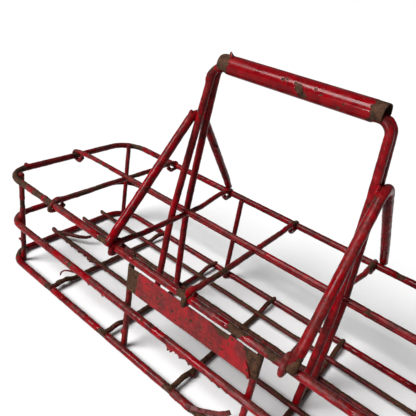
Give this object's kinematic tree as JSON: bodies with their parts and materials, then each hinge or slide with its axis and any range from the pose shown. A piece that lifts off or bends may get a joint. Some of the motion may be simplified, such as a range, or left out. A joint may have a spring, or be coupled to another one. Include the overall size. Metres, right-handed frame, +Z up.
{
  "type": "milk bottle crate",
  "caption": "Open steel rod crate for milk bottles: rims, posts and wire grids that make two rows of cells, and a tall two-rod carrying handle with a sleeved grip.",
  "frame": {"origin": "middle of the crate's base, on the surface that it stands on", "axes": "+X along the crate, +Z up, -Y towards the side with the name plate"},
  "size_m": [0.5804, 0.2142, 0.2903],
  "materials": {
    "coated_rim": "thick red coat, glossy, worn brown on top and chipped to bare rusty steel",
    "coated_rod": "thick red coat, glossy, with small chips",
    "coated_wire": "red coat, worn to brown along the top",
    "coated_post": "red coat, glossy, dark in places",
    "rusty_wire": "mostly bare brown rusted steel with remains of red coat",
    "grip_coat": "smooth glossy crimson coat, bare brown steel at both ends",
    "plate_coat": "rubbed red coat, flaked to bare brown steel at both ends",
    "bare_rivet": "dark rusted steel"
  },
  "bodies": {
    "root": {"top_rim": "coated_rim", "mid_rim": "coated_rim", "bottom_rim": "coated_rim", "corner_post_front_left": "coated_post", "corner_post_front_right": "coated_post", "corner_post_back_left": "coated_post", "corner_post_back_right": "coated_post", "side_post_front_left": "coated_post", "side_post_front_right": "coated_post", "side_post_back_left": "coated_post", "side_post_back_right": "coated_post", "brace_left": "coated_rod", "brace_right": "coated_rod", "top_cross_wire_1": "coated_wire", "top_cross_wire_2": "coated_wire", "top_cross_wire_3": "coated_wire", "top_cross_wire_4": "coated_wire", "top_cross_wire_5": "coated_wire", "bottom_cross_wire_1": "rusty_wire", "bottom_cross_wire_2": "rusty_wire", "bottom_cross_wire_3": "rusty_wire", "bottom_cross_wire_4": "rusty_wire", "bottom_cross_wire_5": "rusty_wire", "top_centre_wire": "coated_wire", "bottom_long_wire_1": "rusty_wire", "bottom_long_wire_2": "rusty_wire", "bottom_long_wire_3": "rusty_wire", "bottom_long_wire_4": "rusty_wire", "handle_rod_front": "coated_rod", "handle_rod_back": "coated_rod", "grip_sleeve": "grip_coat", "grip_rivet": "bare_rivet", "name_plate": "plate_coat"}
  },
  "joints": []
}
